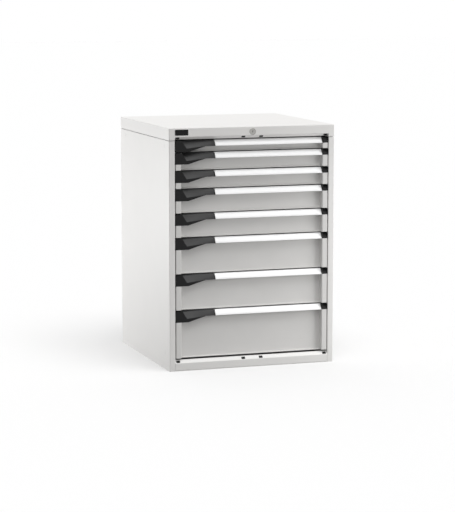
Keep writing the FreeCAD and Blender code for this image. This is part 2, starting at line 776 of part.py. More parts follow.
def drawer_tray(top, height):
    """Floor and walls, their rims turned inwards."""
    floor = top - height + TRAY_LIFT
    rim = top - RIM_DROP
    depths = (PANEL_DEPTH, TRAY_BACK)
    half = TRAY_SIDE - SHEET / 2
    plate = block((-half, half), (PANEL_DEPTH, TRAY_BACK - SHEET / 2), (floor, floor + SHEET))
    rim_edge = -TRAY_SIDE + RIM_WIDTH
    path = [(rim_edge, rim), (-TRAY_SIDE, rim), (-TRAY_SIDE, floor), (rim_edge, floor)]
    wall = lengthwise(path, 1, *depths)
    rim_edge = TRAY_BACK - RIM_WIDTH
    path = [(rim_edge, rim), (TRAY_BACK, rim), (TRAY_BACK, floor), (rim_edge, floor)]
    return [plate, wall, mirror(wall), crosswise(path, -1, -TRAY_SIDE + SHEET, TRAY_SIDE - SHEET)]


def drawer_channel(top):
    high = top - SLIDE_DROP[0]
    low = top - SLIDE_DROP[1]
    path = [(-DRAWER_CHANNEL_LIP, low), (-TRAY_SIDE, low), (-TRAY_SIDE, high), (-DRAWER_CHANNEL_LIP, high)]
    return lengthwise(path, 1, *DRAWER_CHANNEL_DEPTH)


def rear_tab(top):
    """A hooked tab behind the tray, which the raised locking bar holds."""
    plate_top = top - TAB_DROP
    path = [(TRAY_BACK - SHEET / 2, plate_top), (TAB_END, plate_top), (TAB_END, top - TAB_HOOK)]
    return crosswise(path, -1, -TAB_HALF, TAB_HALF)


def drawer_body(top, height):
    channel = drawer_channel(top)
    pieces = drawer_front(top, height) + drawer_tray(top, height)
    return fuse(pieces + [channel, mirror(channel), rear_tab(top)])


# Handle strip: a sloping holder with a lip along each edge, and the label strip that lies between them


def slope_point(along, out, x):
    """A point by its way up the sloping face from the bottom edge and its height over the face."""
    run = (STRIP_SETBACK / FACE_LENGTH, (STRIP_DROP - FRONT_GAP) / FACE_LENGTH)
    return at(x, along * run[0] - out * run[1], -STRIP_DROP + along * run[1] + out * run[0])


def handle_holder():
    top_lip = FACE_LENGTH - STRIP_LIP
    under = -FRONT_GAP - SHEET
    inner = slope_point(FACE_LENGTH, -STRIP_WALL, STRIP_LEFT)
    inner_depth = inner.y + DEPTH / 2 + SLOPE * (under - inner.z)
    points = [
        slope_point(0, 0, STRIP_LEFT),
        slope_point(STRIP_LIP, 0, STRIP_LEFT),
        slope_point(STRIP_LIP, -LABEL_SEAT, STRIP_LEFT),
        slope_point(top_lip, -LABEL_SEAT, STRIP_LEFT),
        slope_point(top_lip, 0, STRIP_LEFT),
        slope_point(FACE_LENGTH, 0, STRIP_LEFT),
        at(STRIP_LEFT, PANEL_DEPTH, -FRONT_GAP),
        at(STRIP_LEFT, PANEL_DEPTH, -FRONT_GAP - STRIP_HEM),
        at(STRIP_LEFT, PANEL_DEPTH - SHEET, -FRONT_GAP - STRIP_HEM),
        at(STRIP_LEFT, PANEL_DEPTH - SHEET, under),
        at(STRIP_LEFT, inner_depth, under),
        slope_point(0, -STRIP_WALL, STRIP_LEFT),
    ]
    return prism(points, FreeCAD.Vector(STRIP_RIGHT - STRIP_LEFT, 0, 0))


def label_strip():
    low = STRIP_LIP
    high = FACE_LENGTH - STRIP_LIP
    seat = -LABEL_SEAT
    face = seat + LABEL_THICKNESS
    corners = ((low, seat), (low, face), (high, face), (high, seat))
    points = [slope_point(along, out, STRIP_LEFT + LABEL_END) for along, out in corners]
    return prism(points, FreeCAD.Vector(STRIP_RIGHT - STRIP_LEFT - 2 * LABEL_END, 0, 0))


# Left grip: a block that opens to the right into a tapering band, with a sloping pocket above it


def grip_point(u, depth, drop):
    """A point by its distance from the cabinet's left side, its depth and its drop from the top line."""
    return at(u - HALF, depth, -drop)


def pocket_low(u):
    """Drop of the pocket's bottom edge at a distance from the cabinet's left side."""
    for (u0, low0), (u1, low1) in ((POCKET_TOE, GRIP_HEEL), (GRIP_HEEL, (GRIP_RIGHT, GRIP_END_DROP))):
        if u <= u1:
            break
    return low0 + (low1 - low0) * (u - u0) / (u1 - u0)


def lofted(sections):
    """A solid with flat sides through polygons of like corners."""
    wires = [Part.makePolygon(points + points[:1]) for points in sections]
    spans = [Part.makeLoft([near, far], True, True) for near, far in zip(wires, wires[1:])]
    return fuse(spans)


def pocket_section(u):
    low = pocket_low(u)
    above = FRONT_GAP - PAST
    corners = [(-PAST, low + PAST / SLOPE), (SLOPE * (low - above), above), (-PAST, above)]
    return [grip_point(u, depth, drop) for depth, drop in corners]


def pocket_wall(drop):
    """Distance of the pocket's slanting left wall from the cabinet's left side."""
    foot_u, foot_drop = POCKET_FOOT
    return POCKET_TOP + (foot_u - POCKET_TOP) * (drop - FRONT_GAP) / (foot_drop - FRONT_GAP)


def grip_pocket():
    wedge = lofted([pocket_section(u) for u in (GRIP_LEFT, GRIP_HEEL[0], GRIP_RIGHT + PAST)])
    above = FRONT_GAP - PAST
    right = GRIP_RIGHT + PAST
    foot = GRIP_DROP
    limit = [(pocket_wall(above), above), (right, above), (right, foot), (pocket_wall(foot), foot)]
    sweep = FreeCAD.Vector(0, PANEL_DEPTH, 0)
    return wedge.common(prism([grip_point(u, -PAST, drop) for u, drop in limit], sweep))


def finger_section(u):
    low = pocket_low(u)
    wall = GRIP_WALL * math.hypot(1, SLOPE)
    roof = FRONT_GAP + GRIP_WALL
    back = PANEL_DEPTH + PAST
    corners = [
        (GRIP_WALL, FINGER_FLOOR),
        (GRIP_WALL, low + (wall - GRIP_WALL) / SLOPE),
        (SLOPE * (low - roof) + wall, roof),
        (back, roof),
        (back, FINGER_FLOOR),
    ]
    return [grip_point(u, depth, drop) for depth, drop in corners]


def lever_bay():
    near, far = LEVER_BAY
    roof = FRONT_GAP + GRIP_WALL
    sole = GRIP_DROP - GRIP_WALL
    shoulder = pocket_wall(roof) - GRIP_WALL - PAST
    corners = [(near, roof), (shoulder, roof), (far, LEVER_BAY_KNEE), (far, sole), (near, sole)]
    return prism([grip_point(u, GRIP_WALL, drop) for u, drop in corners], FreeCAD.Vector(0, PANEL_DEPTH, 0))


def left_grip():
    corners = [
        (GRIP_RIGHT, FRONT_GAP),
        (GRIP_RIGHT, GRIP_END_DROP),
        GRIP_HEEL,
        GRIP_TOE,
        (GRIP_LEFT, GRIP_DROP),
        (GRIP_LEFT, FRONT_GAP),
    ]
    radii = (0, 0, GRIP_TOE_RADIUS, GRIP_TOE_RADIUS, GRIP_CORNER, GRIP_CORNER)
    middle = (corners[0][0] + corners[-1][0]) / 2
    loop = [(middle, FRONT_GAP)] + corners + [(middle, FRONT_GAP)]
    outline = rounded_path([grip_point(u, 0, drop) for u, drop in loop], radii)
    grip = Part.Face(Part.Wire(outline)).extrude(FreeCAD.Vector(0, PANEL_DEPTH, 0))
    fingers = lofted([finger_section(u) for u in (FINGER_BAY[0], GRIP_HEEL[0], FINGER_BAY[1])])
    across = (WINDOW_START - HALF, FINGER_BAY[0] + PAST - HALF)
    window = block(across, WINDOW_DEPTH, [-drop for drop in WINDOW_DROP])
    span = (LEVER_PIN_SPAN[0] - PIN_CLEARANCE, FINGER_BAY[0] + PAST)
    bearing_ends = [grip_point(u, PIVOT_DEPTH, PIVOT_DROP) for u in span]
    bearing = bar(*bearing_ends, LEVER_PIN_RADIUS + PIN_CLEARANCE)
    for hollow in (grip_pocket(), fingers, lever_bay(), window, bearing):
        grip = grip.cut(hollow)
    return fuse([grip, tenon()])


def tenon():
    """A tongue at the grip's right end, set back from the handle strip's face."""
    low = STRIP_LIP
    high = FACE_LENGTH - 2 * STRIP_LIP
    face = -STRIP_WALL
    back = -STRIP_WALL - GRIP_WALL
    start = GRIP_RIGHT - GRIP_WALL
    corners = ((low, face), (high, face), (high, back), (low, back))
    points = [slope_point(along, out, start - HALF) for along, out in corners]
    return prism(points, FreeCAD.Vector(TENON_END - start, 0, 0))


# Right end cap: a block with a sloping pocket in its face, hollow behind


def right_cap():
    cap = block((CAP_LEFT, CAP_RIGHT), (0, PANEL_DEPTH), (-CAP_DROP, -FRONT_GAP))
    rightmost = [edge for edge in cap.Edges if edge.BoundBox.XMin > CAP_RIGHT - CAP_RIM]
    cap = cap.makeFillet(GRIP_CORNER, [edge for edge in rightmost if edge.BoundBox.ZLength > CAP_RIM])
    low = CAP_DROP - CAP_SILL
    left = CAP_LEFT + CAP_RIM
    right = CAP_RIGHT - CAP_RIM
    above = FRONT_GAP - PAST
    face = [(-PAST, low + PAST / SLOPE), (SLOPE * (low - above), above), (-PAST, above)]
    pocket = prism([at(left, depth, -drop) for depth, drop in face], FreeCAD.Vector(right - left, 0, 0))
    wall = GRIP_WALL * math.hypot(1, SLOPE)
    roof = FRONT_GAP + GRIP_WALL
    back = PANEL_DEPTH + PAST
    hollow = [(wall, low), (SLOPE * (low - roof) + wall, roof), (back, roof), (back, low)]
    cavity = prism([at(left, depth, -drop) for depth, drop in hollow], FreeCAD.Vector(right - left, 0, 0))
    return cap.cut(pocket).cut(cavity)


# Catch lever: squeezed behind the grip, it turns about its pin and lifts the hook off its keeper


def catch_lever():
    barrel = bar(*[grip_point(u, PIVOT_DEPTH, PIVOT_DROP) for u in BARREL_SPAN], BARREL_RADIUS)
    pin = bar(*[grip_point(u, PIVOT_DEPTH, PIVOT_DROP) for u in LEVER_PIN_SPAN], LEVER_PIN_RADIUS)
    near, far = BLADE_DEPTH
    foot = block([u - HALF for u in FOOT_SPAN], (PIVOT_DEPTH, far), [-drop for drop in FOOT_DROP])
    corners = BLADE_FOOT + BLADE_TIP
    blade = prism([grip_point(u, near, drop) for u, drop in corners], FreeCAD.Vector(0, far - near, 0))
    across = [u - HALF for u in HOOK_SIDE]
    arm = block(across, (PIVOT_DEPTH, NOSE_DEPTH[1]), [-drop for drop in HOOK_DROP])
    nose = block(across, NOSE_DEPTH, (-NOSE_DROP, -HOOK_DROP[0]))
    return fuse([barrel, pin, foot, blade, arm, nose])


# Moving part of a pair of slides: a plate with four rollers on pins at each side


def slide_members():
    middle = -(SLIDE_DROP[0] + SLIDE_DROP[1]) / 2
    near, far = PLATE_SIDE
    plate = block((-far, -near), PLATE_DEPTH, (-PLATE_DROP[1], -PLATE_DROP[0]))
    pieces = []
    outer_pin = (near - PIN_HEAD, OUTER_ROLLER_SIDE[1] + PIN_HEAD)
    inner_pin = (INNER_ROLLER_SIDE[0] - PIN_HEAD, far + PIN_HEAD)
    groups = ((OUTER_ROLLERS, OUTER_ROLLER_SIDE, outer_pin), (INNER_ROLLERS, INNER_ROLLER_SIDE, inner_pin))
    for depths, sides, pin_sides in groups:
        for depth in depths:
            pin_ends = [at(-side, depth, middle) for side in pin_sides]
            pin = bar(*pin_ends, PIN_RADIUS)
            plate = plate.cut(pin)
            roller = bar(*[at(-side, depth, middle) for side in sides], ROLLER_RADIUS)
            pieces += [pin, roller.cut(bar(*pin_ends, PIN_RADIUS + PIN_CLEARANCE))]
    left = [plate] + pieces
    return left + [mirror(piece) for piece in left]


# The rows of drawers; all but the body are alike and only change height


like_pieces = {
    "handle": [handle_holder(), label_strip()],
    "end_grips": [left_grip(), right_cap()],
    "catch_lever": [catch_lever()],
    "slides": slide_members(),
}

for number, top, height in ROWS:
    prefix = "drawer_" + str(number) + "_"
    save(prefix + "body", drawer_body(top, height))
    for name, solids in like_pieces.items():
        save(prefix + name, *[solid.translated(FreeCAD.Vector(0, 0, top)) for solid in solids])
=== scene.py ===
"""A steel drawer cabinet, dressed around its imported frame. All sizes are in metres."""

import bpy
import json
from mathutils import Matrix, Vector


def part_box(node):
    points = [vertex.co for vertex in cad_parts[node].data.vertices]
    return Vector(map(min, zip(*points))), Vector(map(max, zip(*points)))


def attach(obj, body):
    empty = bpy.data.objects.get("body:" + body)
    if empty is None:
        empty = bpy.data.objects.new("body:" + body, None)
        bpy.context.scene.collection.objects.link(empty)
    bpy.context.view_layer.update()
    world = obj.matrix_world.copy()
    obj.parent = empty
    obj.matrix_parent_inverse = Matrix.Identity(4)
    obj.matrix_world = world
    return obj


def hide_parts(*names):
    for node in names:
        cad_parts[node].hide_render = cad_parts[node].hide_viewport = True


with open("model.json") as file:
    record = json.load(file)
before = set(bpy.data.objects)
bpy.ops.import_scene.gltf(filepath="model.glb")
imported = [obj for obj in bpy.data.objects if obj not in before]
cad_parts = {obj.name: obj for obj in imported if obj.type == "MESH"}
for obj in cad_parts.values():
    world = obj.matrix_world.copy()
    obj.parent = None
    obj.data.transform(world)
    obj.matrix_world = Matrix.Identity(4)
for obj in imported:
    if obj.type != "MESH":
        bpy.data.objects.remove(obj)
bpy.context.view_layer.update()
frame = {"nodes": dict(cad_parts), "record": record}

import json
import math
import bmesh
import bpy
from mathutils import Matrix, Vector

scene = bpy.context.scene
scene.view_settings.view_transform = "Standard"

# Casing
# Two side walls, a back, a top cover with a skirt, cross rails, a floor and four slotted uprights, all folded
# from 1.5 mm sheet. The whole casing is powder coated in one warm light grey with a fine orange peel.
COAT = (0.765, 0.756, 0.741)
COAT_ROUGHNESS = 0.42
COAT_DRIFT = 0.012
PEEL_SIZE = 0.0011
PEEL_DEPTH = 0.00002
PATCHES_PER_METRE = 12.0
PATCH_DETAIL = 3.0
PATCH_SPAN = (0.3, 0.7)
GRAIN_DETAIL = 1.5
COLOUR_DRIFT = 0.02
GLOSS_DRIFT = 0.05
DIELECTRIC_SHINE = 0.5


def add_inputs(group, kind, defaults):
    for label, value in defaults.items():
        socket = group.interface.new_socket(label, in_out="INPUT", socket_type=kind)
        socket.default_value = value


def build_uneven_group():
    """Colour and gloss that drift in soft patches, with a fine grain as height. Stretch draws both out."""
    group = bpy.data.node_groups.new("uneven_finish", "ShaderNodeTree")
    add_inputs(group, "NodeSocketColor", {"Colour": (*COAT, 1.0)})
    add_inputs(group, "NodeSocketVector", {"Stretch": (1.0, 1.0, 1.0)})
    add_inputs(group, "NodeSocketFloat", {
        "Drift": COLOUR_DRIFT,
        "Gloss Mean": COAT_ROUGHNESS,
        "Gloss Drift": GLOSS_DRIFT,
        "Patches per Metre": PATCHES_PER_METRE,
        "Grains per Metre": 1 / PEEL_SIZE,
    })
    group.interface.new_socket("Colour", in_out="OUTPUT", socket_type="NodeSocketColor")
    group.interface.new_socket("Roughness", in_out="OUTPUT", socket_type="NodeSocketFloat")
    group.interface.new_socket("Grain", in_out="OUTPUT", socket_type="NodeSocketFloat")
    nodes = group.nodes
    link = group.links.new
    given = nodes.new("NodeGroupInput")
    made = nodes.new("NodeGroupOutput")
    place = nodes.new("ShaderNodeTexCoord")
    drawn = nodes.new("ShaderNodeVectorMath")
    drawn.operation = "MULTIPLY"
    link(place.outputs["Object"], drawn.inputs[0])
    link(given.outputs["Stretch"], drawn.inputs[1])
    patches = nodes.new("ShaderNodeTexNoise")
    patches.inputs["Detail"].default_value = PATCH_DETAIL
    link(drawn.outputs[0], patches.inputs["Vector"])
    link(given.outputs["Patches per Metre"], patches.inputs["Scale"])
    grain = nodes.new("ShaderNodeTexNoise")
    grain.inputs["Detail"].default_value = GRAIN_DETAIL
    link(drawn.outputs[0], grain.inputs["Vector"])
    link(given.outputs["Grains per Metre"], grain.inputs["Scale"])
    spread = nodes.new("ShaderNodeMapRange")
    spread.inputs["From Min"].default_value = PATCH_SPAN[0]
    spread.inputs["From Max"].default_value = PATCH_SPAN[1]
    spread.inputs["To Min"].default_value = -1.0
    link(patches.outputs["Fac"], spread.inputs["Value"])
    shade = nodes.new("ShaderNodeMath")
    shade.operation = "MULTIPLY_ADD"
    shade.inputs[2].default_value = 1.0
    link(spread.outputs[0], shade.inputs[0])
    link(given.outputs["Drift"], shade.inputs[1])
    tinted = nodes.new("ShaderNodeVectorMath")
    tinted.operation = "SCALE"
    link(given.outputs["Colour"], tinted.inputs[0])
    link(shade.outputs[0], tinted.inputs["Scale"])
    gloss = nodes.new("ShaderNodeMath")
    gloss.operation = "MULTIPLY_ADD"
    link(spread.outputs[0], gloss.inputs[0])
    link(given.outputs["Gloss Drift"], gloss.inputs[1])
    link(given.outputs["Gloss Mean"], gloss.inputs[2])
    link(tinted.outputs[0], made.inputs["Colour"])
    link(gloss.outputs[0], made.inputs["Roughness"])
    link(grain.outputs["Fac"], made.inputs["Grain"])
    return group


uneven_finish = build_uneven_group()


def make_finish(name, colour, roughness, grain_size, grain_depth, stretch=(1, 1, 1), drift=COLOUR_DRIFT,
                gloss_drift=GLOSS_DRIFT, metallic=0.0, specular=DIELECTRIC_SHINE):
    """A material whose colour, gloss and grain come from the shared uneven finish."""
    material = bpy.data.materials.new(name)
    material.use_nodes = True
    tree = material.node_tree
    shader = tree.nodes["Principled BSDF"]
    shader.inputs["Metallic"].default_value = metallic
    shader.inputs["Specular IOR Level"].default_value = specular
    uneven = tree.nodes.new("ShaderNodeGroup")
    uneven.node_tree = uneven_finish
    uneven.inputs["Colour"].default_value = (*colour, 1.0)
    uneven.inputs["Stretch"].default_value = stretch
    uneven.inputs["Drift"].default_value = drift
    uneven.inputs["Gloss Mean"].default_value = roughness
    uneven.inputs["Gloss Drift"].default_value = gloss_drift
    uneven.inputs["Grains per Metre"].default_value = 1 / grain_size
    bump = tree.nodes.new("ShaderNodeBump")
    bump.inputs["Distance"].default_value = grain_depth
    tree.links.new(uneven.outputs["Colour"], shader.inputs["Base Color"])
    tree.links.new(uneven.outputs["Roughness"], shader.inputs["Roughness"])
    tree.links.new(uneven.outputs["Grain"], bump.inputs["Height"])
    tree.links.new(bump.outputs["Normal"], shader.inputs["Normal"])
    return material


def coat_slot(slot, material):
    """Give every CAD node of a material slot its finish."""
    for part in frame["record"]["subparts"]:
        if part["material_slot"] == slot:
            mesh = frame["nodes"][part["node"]].data
            mesh.materials.clear()
            mesh.materials.append(material)


casing_coat = make_finish("casing_powder_coat", COAT, COAT_ROUGHNESS, PEEL_SIZE, PEEL_DEPTH, drift=COAT_DRIFT)
coat_slot("shell_paint", casing_coat)

# Drawer bodies
# Each drawer is a welded tray with a folded front: flanges at both sides, a recessed panel and a lip below.
# Their powder coat is the casing's. It is coloured a shade darker here, as painted shade for the recessed
# panels under the handle strips; the side flanges on the same bodies take it too.
DRAWER_COAT_WITH_PAINTED_SHADE = (0.668, 0.660, 0.646)
drawer_coat_with_painted_shade = make_finish("drawer_powder_coat_painted_shade", DRAWER_COAT_WITH_PAINTED_SHADE, COAT_ROUGHNESS, PEEL_SIZE, PEEL_DEPTH,
                          drift=COAT_DRIFT)
coat_slot("drawer_paint", drawer_coat_with_painted_shade)

# Slides, keepers, locking bar and brackets
# Rolled steel strip with a zinc plating: a cool grey with streaks along the rolling direction and soft
# cloudy patches. The screws, the nut and the lock's shaft are brighter turned steel.
ZINC = (0.43, 0.44, 0.45)
ZINC_ROUGHNESS = 0.42
ZINC_STREAK = (6.0, 0.35, 6.0)
ZINC_DRIFT = 0.07
ZINC_GLOSS_DRIFT = 0.08
TURNED_STEEL = (0.60, 0.595, 0.58)
TURNED_ROUGHNESS = 0.26
TURNED_DRIFT = 0.03
STREAK_SIZE = 0.002
STREAK_DEPTH = 0.00001

zinc = make_finish("zinc_plated_strip", ZINC, ZINC_ROUGHNESS, STREAK_SIZE, STREAK_DEPTH, ZINC_STREAK,
                   drift=ZINC_DRIFT, gloss_drift=ZINC_GLOSS_DRIFT, metallic=1.0)
turned = make_finish("turned_steel", TURNED_STEEL, TURNED_ROUGHNESS, STREAK_SIZE, STREAK_DEPTH,
                     drift=TURNED_DRIFT, metallic=1.0)
coat_slot("slide_steel", zinc)
coat_slot("bright_steel", turned)

# Slot plugs
# Small black moulded plugs, pressed into the slots of the sloping bands above and below the drawers. Each has
# a shallow dish in its face.
MOULD_GRAIN = 0.0006
MOULD_DEPTH = 0.00003
PLUG_BLACK = (0.006, 0.006, 0.0062)
PLUG_ROUGHNESS = 0.55
PLUG_SHINE = 0.25

plug_black = make_finish("plug_moulding", PLUG_BLACK, PLUG_ROUGHNESS, MOULD_GRAIN, MOULD_DEPTH,
                         specular=PLUG_SHINE)
coat_slot("plug_plastic", plug_black)

# Blank plate
# A glossy black plate with round corners and a slightly raised rim, stuck on at the left of the top skirt.
# Its face is left bare.
PLATE_CORNER = 0.003
PLATE_CORNER_STEPS = 6
PLATE_RIM = 0.0012
PLATE_SINK = 0.0003
PLATE_EDGE = 0.00025
PLATE_BLACK = (0.008, 0.008, 0.009)
PLATE_ROUGHNESS = 0.16
PLATE_GLOSS_DRIFT = 0.03
PLATE_SHINE = 0.15
PLATE_GRAIN_DEPTH = 0.000003
SHARP_ANGLE = math.radians(35)


def finished_piece(name, mesh, materials, body, replaced):
    """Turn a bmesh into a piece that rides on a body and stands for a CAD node."""
    bmesh.ops.remove_doubles(mesh, verts=mesh.verts[:], dist=1e-6)
    bmesh.ops.recalc_face_normals(mesh, faces=mesh.faces[:])
    data = bpy.data.meshes.new(name)
    mesh.to_mesh(data)
    mesh.free()
    data.shade_smooth()
    data.set_sharp_from_angle(angle=SHARP_ANGLE)
    for material in materials:
        data.materials.append(material)
    piece = bpy.data.objects.new(name, data)
    scene.collection.objects.link(piece)
    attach(piece, body)
    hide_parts(replaced)
    return piece


def flat_face(mesh, corners):
    return mesh.faces.new([mesh.verts.new(corner) for corner in corners])


def move_new(mesh, made, way):
    """Move the vertices that an extrusion has made."""
    verts = [item for item in made if isinstance(item, bmesh.types.BMVert)]
    bmesh.ops.translate(mesh, vec=way, verts=verts)


def swept(mesh, face, way):
    """Extrude a face along a vector and return the new far face."""
    made = bmesh.ops.extrude_face_region(mesh, geom=[face])["geom"]
    move_new(mesh, made, way)
    return [item for item in made if isinstance(item, bmesh.types.BMFace)][0]


def round_edges(mesh, edges, width, steps=2):
    bmesh.ops.bevel(mesh, geom=edges, offset=width, offset_type="OFFSET", segments=steps, profile=0.5,
                    affect="EDGES", material=-1)


def blank_plate():
    low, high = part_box("badge_plate")
    mesh = bmesh.new()
    back = flat_face(mesh, [
        (low.x, high.y, low.z),
        (high.x, high.y, low.z),
        (high.x, high.y, high.z),
        (low.x, high.y, high.z),
    ])
    bmesh.ops.bevel(mesh, geom=back.verts[:], offset=PLATE_CORNER, offset_type="OFFSET",
                    segments=PLATE_CORNER_STEPS, profile=0.5, affect="VERTICES", material=-1)
    mesh.faces.ensure_lookup_table()
    front = swept(mesh, mesh.faces[0], Vector((0, low.y - high.y, 0)))
    round_edges(mesh, front.edges[:], PLATE_EDGE)
    mesh.faces.ensure_lookup_table()
    face = min(mesh.faces, key=lambda item: item.calc_center_median().y - item.calc_area())
    bmesh.ops.inset_region(mesh, faces=[face], thickness=PLATE_RIM, use_even_offset=True)
    bmesh.ops.inset_region(mesh, faces=[face], thickness=PLATE_SINK, depth=-PLATE_SINK, use_even_offset=True)
    return mesh


plate_gloss = make_finish("plate_gloss_black", PLATE_BLACK, PLATE_ROUGHNESS, MOULD_GRAIN, PLATE_GRAIN_DEPTH,
                          gloss_drift=PLATE_GLOSS_DRIFT, specular=PLATE_SHINE)
finished_piece("blank_plate", blank_plate(), [plate_gloss], "cabinet", "badge_plate")

# Lock
# A satin nickel barrel through the skirt, with a chamfered rim round a stepped face. The plug inside it turns
# with the key and has a narrow upright keyway.
NICKEL = (0.36, 0.355, 0.34)
NICKEL_ROUGHNESS = 0.3
NICKEL_DRIFT = 0.03
NICKEL_GLOSS_DRIFT = 0.06
# The deep part of the keyway is coloured near-black, as painted shade inside the narrow slot.
KEYWAY_PAINTED_SHADE_BLACK = (0.01, 0.01, 0.01)
KEYWAY_ROUGHNESS = 0.7
LOCK_STEPS = 48
LOCK_AXIS = Vector((0, 1, 0))
BORE_RADIUS = 0.00655
BARREL_RADIUS = 0.0095
PLUG_RADIUS = 0.0065
RIM_WIDTH = 0.0032
RIM_SINK = 0.0006
KEYWAY_WIDTH = 0.0022
KEYWAY_TALL = 0.0085
KEYWAY_DEEP = 0.008

lock_low, lock_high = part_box("lock_barrel")
plug_low, plug_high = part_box("lock_plug")
lock_centre = Vector(((lock_low.x + lock_high.x) / 2, 0, (lock_low.z + lock_high.z) / 2))
lock_radius = (lock_high.x - lock_low.x) / 2
skirt_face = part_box("top_cover")[0].y


def turned_ring(profile, centre):
    """A closed profile of radius and depth, spun once round the lock's axis."""
    mesh = bmesh.new()
    verts = [mesh.verts.new((centre.x + radius, y, centre.z)) for radius, y in profile]
    edges = [mesh.edges.new(pair) for pair in zip(verts, verts[1:] + verts[:1])]
    bmesh.ops.spin(mesh, geom=verts + edges, cent=centre, axis=LOCK_AXIS, angle=2 * math.pi, steps=LOCK_STEPS,
                   use_merge=True)
    return mesh


def lock_rim():
    front = lock_low.y
    ledge = front + RIM_SINK
    chamfer = RIM_SINK
    step = lock_radius - RIM_WIDTH
    profile = [
        (BORE_RADIUS, ledge),
        (step, ledge),
        (step + RIM_SINK / 2, front),
        (lock_radius - chamfer, front),
        (lock_radius, front + chamfer),
        (lock_radius, skirt_face),
        (BARREL_RADIUS, skirt_face),
        (BARREL_RADIUS, lock_high.y),
        (BORE_RADIUS, lock_high.y),
    ]
    return turned_ring(profile, lock_centre)


def lock_plug_face():
    """The plug, its front face opened by the keyway and its far end closed."""
    mesh = bmesh.new()
    ring = bmesh.ops.create_circle(mesh, segments=LOCK_STEPS, radius=PLUG_RADIUS)["verts"]
    bmesh.ops.rotate(mesh, verts=ring, matrix=Matrix.Rotation(math.pi / 2, 3, "X"))
    across = KEYWAY_WIDTH / 2
    up = KEYWAY_TALL / 2
    corners = ((-across, 0, -up), (across, 0, -up), (across, 0, up), (-across, 0, up))
    slot = [mesh.verts.new(corner) for corner in corners]
    for pair in zip(slot, slot[1:] + slot[:1]):
        mesh.edges.new(pair)
    outline = [edge for edge in mesh.edges if edge.verts[0] not in slot]
    opening = [edge for edge in mesh.edges if edge.verts[0] in slot]
    bmesh.ops.triangle_fill(mesh, edges=mesh.edges[:], use_beauty=True)
    bmesh.ops.translate(mesh, verts=mesh.verts[:], vec=lock_centre + Vector((0, plug_low.y, 0)))
    sunk = bmesh.ops.extrude_edge_only(mesh, edges=opening)["geom"]
    move_new(mesh, sunk, LOCK_AXIS * KEYWAY_DEEP)
    floor_edges = [item for item in sunk if isinstance(item, bmesh.types.BMEdge)]
    bmesh.ops.contextual_create(mesh, geom=floor_edges)
    # The keyway's walls and floor take the near-black finish, as painted shade.
    for face in mesh.faces:
        deep = [vert for vert in face.verts if vert.co.y > plug_low.y + KEYWAY_DEEP / 2]
        face.material_index = 1 if deep else 0
    sides = bmesh.ops.extrude_edge_only(mesh, edges=outline)["geom"]
    move_new(mesh, sides, LOCK_AXIS * (plug_high.y - plug_low.y))
    far_edges = [item for item in sides if isinstance(item, bmesh.types.BMEdge)]
    bmesh.ops.contextual_create(mesh, geom=far_edges)
    return mesh


nickel = make_finish("satin_nickel", NICKEL, NICKEL_ROUGHNESS, STREAK_SIZE, STREAK_DEPTH,
                     drift=NICKEL_DRIFT, gloss_drift=NICKEL_GLOSS_DRIFT, metallic=1.0)
keyway_shade = make_finish("keyway_shade", KEYWAY_PAINTED_SHADE_BLACK, KEYWAY_ROUGHNESS, MOULD_GRAIN, MOULD_DEPTH)
finished_piece("lock_rim", lock_rim(), [nickel], "cabinet", "lock_barrel")
finished_piece("lock_plug_face", lock_plug_face(), [nickel, keyway_shade], "lock_cylinder", "lock_plug")

# Handle strips
# Along the top of every drawer runs a white sloping holder with a thin lip along each edge. A white label
# strip under a clear face lies between the lips and shows no writing.
FRONT_GAP = 0.004
STRIP_DROP = 0.0265
STRIP_SETBACK = 0.016
PANEL_DEPTH = 0.025
STRIP_LIP = 0.001
STRIP_WALL = 0.003
STRIP_HEM = 0.008
SHEET = 0.0015
LABEL_SEAT = 0.0014
LABEL_THICKNESS = 0.0011
LABEL_END = 0.0005
STRIP_EDGE = 0.00025
STRIP_WHITE = (0.90, 0.90, 0.90)
STRIP_ROUGHNESS = 0.35
STRIP_DRIFT = 0.006
STRIP_PEEL = 0.00001
LABEL_WHITE = (0.93, 0.93, 0.93)
LABEL_ROUGHNESS = 0.14
LABEL_DRIFT = 0.008
LABEL_GLOSS_DRIFT = 0.04
LABEL_PEEL = 0.000005
slope_length = math.hypot(STRIP_SETBACK, STRIP_DROP - FRONT_GAP)
slope_run = (STRIP_SETBACK / slope_length, (STRIP_DROP - FRONT_GAP) / slope_length)
drawer_numbers = range(1, sum(name.endswith("_handle") for name in frame["nodes"]) + 1)
front_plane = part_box("left_side_panel")[0].y
half_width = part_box("top_cover")[1].x


def on_slope(along, out):
    """Depth and drop of a point by its way up the slope and its height over it."""
    return along * slope_run[0] - out * slope_run[1], STRIP_DROP - along * slope_run[1] - out * slope_run[0]


def swept_profile(profile, x_low, x_high, top):
    """A solid swept to the right from a profile of depth and drop below a drawer's top line."""
    mesh = bmesh.new()
    face = flat_face(mesh, [(x_low, front_plane + depth, top - drop) for depth, drop in profile])
    swept(mesh, face, Vector((x_high - x_low, 0, 0)))
    long_edges = [edge for edge in mesh.edges if abs(edge.verts[0].co.x - edge.verts[1].co.x) > STRIP_WALL]
    round_edges(mesh, long_edges, STRIP_EDGE)
    return mesh


def strip_holder(left, right, top):
    under = FRONT_GAP + SHEET
    inner_depth, inner_drop = on_slope(slope_length, -STRIP_WALL)
    inner_depth -= (under - inner_drop) * slope_run[0] / slope_run[1]
    lip_top = slope_length - STRIP_LIP
    profile = [
        on_slope(0, 0),
        on_slope(STRIP_LIP, 0),
        on_slope(STRIP_LIP, -LABEL_SEAT),
        on_slope(lip_top, -LABEL_SEAT),
        on_slope(lip_top, 0),
        on_slope(slope_length, 0),
        (PANEL_DEPTH, FRONT_GAP),
        (PANEL_DEPTH, FRONT_GAP + STRIP_HEM),
        (PANEL_DEPTH - SHEET, FRONT_GAP + STRIP_HEM),
        (PANEL_DEPTH - SHEET, under),
        (inner_depth, under),
        on_slope(0, -STRIP_WALL),
    ]
    return swept_profile(profile, left, right, top)


